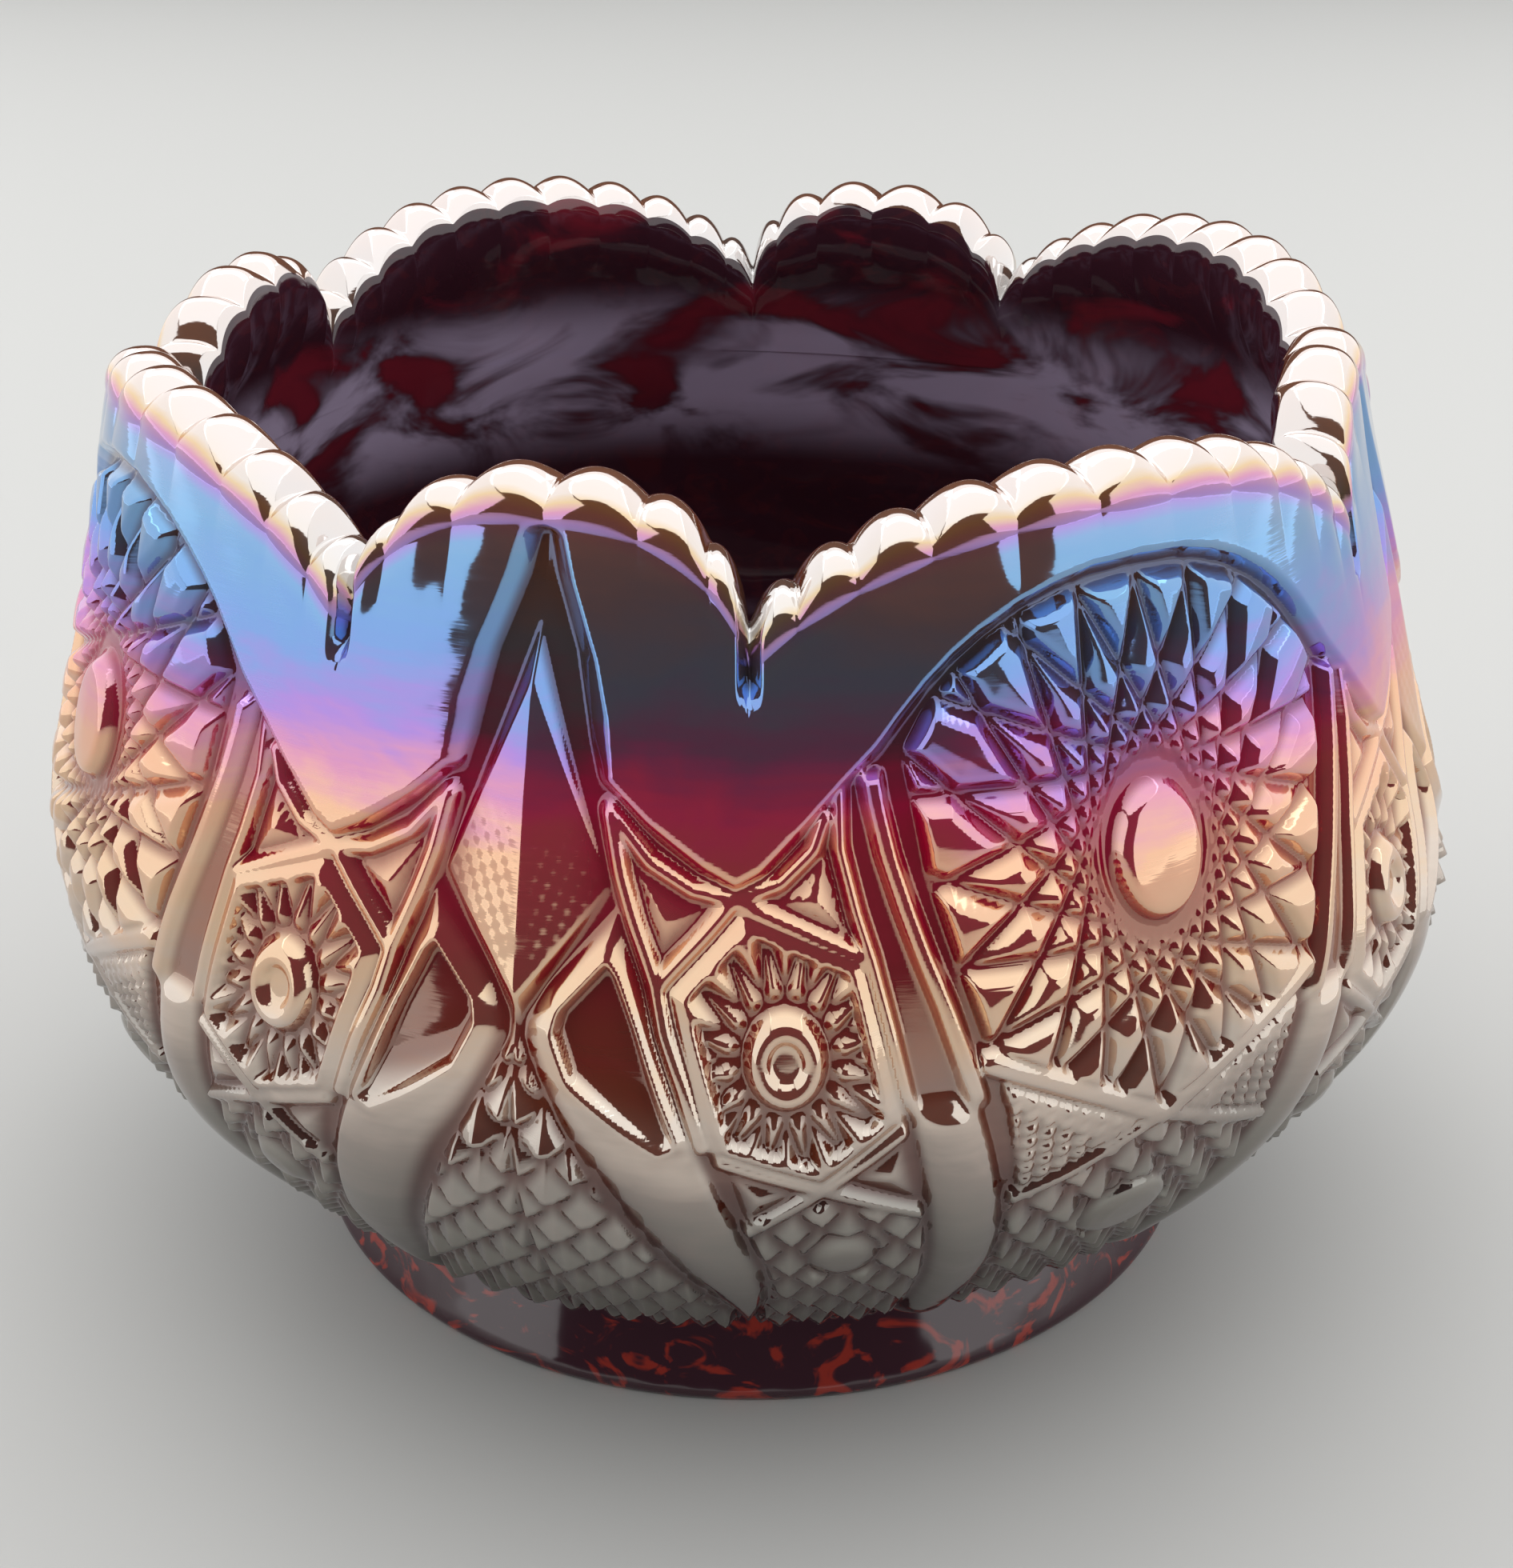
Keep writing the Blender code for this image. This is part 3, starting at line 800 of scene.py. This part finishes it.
def waviness_group():
    """Waves and drawn lines of pressed glass, and the clouds in it, for every glass material."""
    group = bpy.data.node_groups.new("pressed_glass_waviness", "ShaderNodeTree")
    sockets = group.interface
    sockets.new_socket("Place", in_out="INPUT", socket_type="NodeSocketVector")
    for name in ("Wave Scale", "Drawn Lines", "Cloud Scale"):
        sockets.new_socket(name, in_out="INPUT", socket_type="NodeSocketFloat")
    for name in ("Height", "Clouds"):
        sockets.new_socket(name, in_out="OUTPUT", socket_type="NodeSocketFloat")
    given = node(group, "NodeGroupInput").outputs
    result = node(group, "NodeGroupOutput")
    waves = noise(group, given["Place"], given["Wave Scale"], 2.0)
    drawn = noise(group, given["Place"], 900.0, 2.0, stretch=(0.2, 0.2, 2.4))
    height = sums(group, "MULTIPLY_ADD", drawn, given["Drawn Lines"], waves)
    clouds = noise(group, given["Place"], given["Cloud Scale"], 4.0, (1.0, 1.0, 2.0), 0.8)
    group.links.new(height, result.inputs["Height"])
    group.links.new(clouds, result.inputs["Clouds"])
    return group


def waviness(tree, place, wave_scale, drawn_lines, cloud_scale):
    """The shared waviness placed in one material with its own values."""
    placed = node(tree, "ShaderNodeGroup", node_tree=bpy.data.node_groups["pressed_glass_waviness"])
    tree.links.new(place, placed.inputs["Place"])
    placed.inputs["Wave Scale"].default_value = wave_scale
    placed.inputs["Drawn Lines"].default_value = drawn_lines
    placed.inputs["Cloud Scale"].default_value = cloud_scale
    return placed.outputs["Height"], placed.outputs["Clouds"]


def bumped(tree, height, strength, distance, shaders):
    """A bump from a height, given to the shaders."""
    bump = node(tree, "ShaderNodeBump")
    bump.inputs["Strength"].default_value = strength
    bump.inputs["Distance"].default_value = distance
    tree.links.new(height, bump.inputs["Height"])
    for shader in shaders:
        tree.links.new(bump.outputs["Normal"], shader.inputs["Normal"])


# Film colours by height: the film's own iridescent bands; the darker greys towards the foot are painted shade
# standing in for a dimmer reflection below the belly.
FILM_AND_SHADE_BANDS = (
    (0.0, (0.17, 0.18, 0.16)), (30.0, (0.25, 0.26, 0.23)), (56.0, (0.46, 0.46, 0.42)),
    (68.0, (0.84, 0.80, 0.70)), (80.0, (0.92, 0.76, 0.50)), (95.0, (0.90, 0.66, 0.40)),
    (103.0, (0.66, 0.38, 0.62)), (108.0, (0.44, 0.32, 0.88)), (115.0, (0.22, 0.44, 0.92)),
    (126.0, (0.20, 0.52, 0.88)), (140.0, (0.26, 0.52, 0.88)),
)
RIM_BANDS = (
    (0.0, (0.95, 0.95, 0.95)), (1.3, (0.95, 0.93, 0.88)), (2.0, (0.92, 0.74, 0.46)),
    (2.9, (0.76, 0.38, 0.62)), (4.2, (0.46, 0.34, 0.90)), (6.0, (0.24, 0.52, 0.90)),
)
# Glass colours by height: near black at the foot, then orange, crimson, grey-brown and amber bands painted as
# light shining through the glass.
GLASS_AND_PAINTED_LIGHT_BANDS = (
    (0.0, (0.020, 0.004, 0.008)), (50.0, (0.080, 0.012, 0.010)), (70.0, (0.36, 0.060, 0.018)),
    (86.0, (0.55, 0.010, 0.045)), (103.0, (0.90, 0.006, 0.100)), (112.0, (0.26, 0.050, 0.060)),
    (119.0, (0.15, 0.110, 0.100)), (126.0, (0.24, 0.090, 0.040)), (134.0, (0.42, 0.120, 0.030)),
)


def object_place(tree):
    """The point on the object, and its height in millimetres."""
    place = node(tree, "ShaderNodeTexCoord").outputs["Object"]
    split = node(tree, "ShaderNodeSeparateXYZ")
    tree.links.new(place, split.inputs[0])
    return place, sums(tree, "MULTIPLY", split.outputs["Z"], 1000.0)


def piece_value(tree, name):
    """A value stored at the piece's points."""
    return node(tree, "ShaderNodeAttribute", attribute_name=name).outputs["Fac"]


def film_colour(tree, height, drift):
    """The film's colour: bands by height, and near the rim bands by the distance below it.

    Both drift with the clouds and streaks. In the cuts the colour darkens to a dark brown as painted shade.
    """
    below = piece_value(tree, "below_rim")
    film_height = sums(tree, "ADD", height, sums(tree, "ADD", drift, -2.5))
    film = colour_ramp(tree, film_height, FILM_AND_SHADE_BANDS, 0.0, 140.0)
    rim_film = colour_ramp(tree, sums(tree, "MULTIPLY_ADD", drift, 0.08, below), RIM_BANDS, 0.0, 6.0)
    film = mixed(tree, ranged(tree, below, 5.0, 8.0, 1.0, 0.0, True), film, rim_film)
    # Painted shade: dark brown in the deeper cuts, darkest at the cut floor.
    painted_cut_shade = ranged(tree, piece_value(tree, "cut_depth"), -2.3, -1.0, 0.25, 1.0, True)
    return mixed(tree, painted_cut_shade, (0.055, 0.012, 0.016), film)


def film_glass(name):
    """Dark amethyst glass under a fired metallic film whose colour runs with the height.

    The film is a mirror in its own colour; a third of the mix is the glass, which shows where
    the film mirrors nothing, coloured by height too, with bands painted as light shining through it.
    """
    material, tree, film_shader = new_material(name)
    place, height = object_place(tree)
    surface_height, clouds = waviness(tree, place, 90.0, 0.04, 38.0)
    streaks = noise(tree, place, 300.0, 3.0, stretch=(0.35, 0.35, 3.0))
    drift = sums(tree, "MULTIPLY_ADD", clouds, 22.0, -11.0)
    drift = sums(tree, "MULTIPLY_ADD", streaks, 5.0, drift)
    film_shader.inputs["Metallic"].default_value = 1.0
    plug(tree, film_colour(tree, height, drift), film_shader.inputs["Base Color"])
    plug(tree, ranged(tree, streaks, 0.3, 0.8, 0.03, 0.10), film_shader.inputs["Roughness"])

    # Painted light: the glass colour's crimson and amber bands stand in for light shining through the glass.
    glass = colour_ramp(tree, sums(tree, "MULTIPLY_ADD", drift, 0.8, height), GLASS_AND_PAINTED_LIGHT_BANDS, 0.0, 134.0)
    glass_shader = node(tree, "ShaderNodeBsdfPrincipled")
    plug(tree, glass, glass_shader.inputs["Base Color"])
    glass_shader.inputs["Roughness"].default_value = 0.12
    glass_shader.inputs["IOR"].default_value = 1.6
    layers = node(tree, "ShaderNodeMixShader")
    layers.inputs["Fac"].default_value = 0.34
    tree.links.new(film_shader.outputs[0], layers.inputs[1])
    tree.links.new(glass_shader.outputs[0], layers.inputs[2])
    tree.links.new(layers.outputs[0], tree.nodes["Material Output"].inputs["Surface"])
    bumped(tree, surface_height, 0.3, 0.0006, (film_shader, glass_shader))
    return material


def dark_glass(name):
    """Plain amethyst glass, almost black in the mass, with crimson swirls, a painted lilac reflection and
    painted crimson light.

    The swirls are strong in the foot and faint above. Under the rim a lilac band of painted reflection lies
    where the cloud noise is high, and painted crimson light, as if shining through the glass, where it is
    low.
    """
    material, tree, shader = new_material(name)
    place, height = object_place(tree)
    surface_height, clouds = waviness(tree, place, 60.0, 0.0, 34.0)
    flames = noise(tree, place, 105.0, 3.0, stretch=(1.0, 1.0, 1.6), distortion=2.2)
    flames = ranged(tree, flames, 0.54, 0.66, 0.0, 1.0, True)
    swirls = sums(tree, "MULTIPLY", flames, ranged(tree, height, 20.0, 40.0, 1.0, 0.06))
    # Painted reflection: a lilac band round the inner wall under the rim, where the cloud noise is high.
    painted_reflection = ranged(tree, clouds, 0.40, 0.58, 0.0, 1.0, True)
    painted_reflection = sums(tree, "MULTIPLY", painted_reflection, ranged(tree, height, 84.0, 98.0, 0.0, 1.0, True))
    painted_reflection = sums(tree, "MULTIPLY", painted_reflection, ranged(tree, height, 108.0, 120.0, 1.0, 0.0, True))
    # Painted crimson light, as if shining through the glass, where the cloud noise is low.
    painted_glow = ranged(tree, clouds, 0.48, 0.36, 0.0, 1.0, True)
    painted_glow = sums(tree, "MULTIPLY", painted_glow, ranged(tree, height, 86.0, 104.0, 0.0, 0.75, True))
    colour = mixed(tree, swirls, (0.050, 0.014, 0.024), (0.38, 0.035, 0.022))
    colour = mixed(tree, painted_glow, colour, (0.26, 0.018, 0.034))
    colour = mixed(tree, painted_reflection, colour, (0.56, 0.47, 0.66))
    plug(tree, colour, shader.inputs["Base Color"])
    shader.inputs["Roughness"].default_value = 0.08
    shader.inputs["IOR"].default_value = 1.7
    bumped(tree, surface_height, 0.4, 0.0012, (shader,))
    return material


# ======================= Stage =======================

CAMERA_BEARING = math.radians(15.98)
CAMERA_RISE = math.radians(25.86)
CAMERA_DISTANCE = 0.3578
CAMERA_AIM_HEIGHT = 0.0612
CAMERA_SIDE = 0.0007
LENS = 54.1
FLOOR_HALF, FLOOR_LINES = 4.0, 41
LIGHT_AIM_HEIGHT = 0.06


def add_camera():
    """A camera in front of the bowl, a little to the right and above."""
    data = bpy.data.cameras.new("camera")
    data.lens = LENS
    data.sensor_width = 36.0
    camera = bpy.data.objects.new("camera", data)
    bpy.context.scene.collection.objects.link(camera)
    flat = CAMERA_DISTANCE * math.cos(CAMERA_RISE)
    right = (math.cos(CAMERA_BEARING), math.sin(CAMERA_BEARING))
    camera.location = (
        flat * math.sin(CAMERA_BEARING) + CAMERA_SIDE * right[0],
        -flat * math.cos(CAMERA_BEARING) + CAMERA_SIDE * right[1],
        CAMERA_AIM_HEIGHT + CAMERA_DISTANCE * math.sin(CAMERA_RISE),
    )
    camera.rotation_euler = (math.pi / 2 - CAMERA_RISE, 0.0, CAMERA_BEARING)
    bpy.context.scene.camera = camera


def add_light(name, bearing, rise, distance, width, height, power):
    """A soft rectangular light facing the bowl, its bearing in degrees right of the camera's."""
    data = bpy.data.lights.new(name, "AREA")
    data.shape = "RECTANGLE"
    data.size = width
    data.size_y = height
    data.energy = power
    light = bpy.data.objects.new(name, data)
    bpy.context.scene.collection.objects.link(light)
    swing = CAMERA_BEARING + math.radians(bearing)
    lift = math.radians(rise)
    flat = distance * math.cos(lift)
    up = LIGHT_AIM_HEIGHT + distance * math.sin(lift)
    light.location = (flat * math.sin(swing), -flat * math.cos(swing), up)
    light.rotation_euler = (math.pi / 2 - lift, 0.0, swing)


def add_floor():
    """A wide flat pale floor as a square grid."""
    steps = np.linspace(-FLOOR_HALF, FLOOR_HALF, FLOOR_LINES)
    across, along = np.meshgrid(steps, steps)
    points = np.stack([across, along, np.zeros_like(across)], -1).reshape(-1, 3)
    faces = grid_faces(FLOOR_LINES, FLOOR_LINES, False, False)
    mesh = bpy.data.meshes.new("pale_floor")
    mesh.from_pydata(points.tolist(), [], faces.tolist())
    mesh.shade_smooth()
    material, _, shader = new_material("pale_matt_floor")
    shader.inputs["Base Color"].default_value = (0.60, 0.60, 0.585, 1.0)
    shader.inputs["Roughness"].default_value = 0.75
    mesh.materials.append(material)
    floor = bpy.data.objects.new("pale_floor", mesh)
    bpy.context.scene.collection.objects.link(floor)


def add_surround():
    """A dim even surround."""
    world = bpy.data.worlds.new("surround")
    world.use_nodes = True
    background = world.node_tree.nodes["Background"]
    background.inputs["Color"].default_value = (0.8, 0.82, 0.85, 1.0)
    background.inputs["Strength"].default_value = 0.06
    bpy.context.scene.world = world
    bpy.context.scene.view_settings.view_transform = "Standard"


waviness_group()
film = film_glass("fired_film_on_glass")
bare = dark_glass("dark_amethyst_glass")
build_wall(film, bare)
revolve("cavity", cavity_section(), False, bare)
revolve("collar_foot", foot_section(), True, bare, square=False)
add_camera()
add_floor()
add_surround()
add_light("left_soft_light", bearing=-97, rise=23, distance=1.1, width=2.9, height=1.25, power=13.5)
add_light("right_soft_light", bearing=92, rise=23, distance=1.1, width=2.9, height=1.25, power=13.5)
add_light("top_soft_light", bearing=180, rise=88, distance=1.4, width=2.3, height=2.5, power=24)
add_light("back_soft_light", bearing=180, rise=48, distance=2.4, width=2.6, height=1.4, power=14)
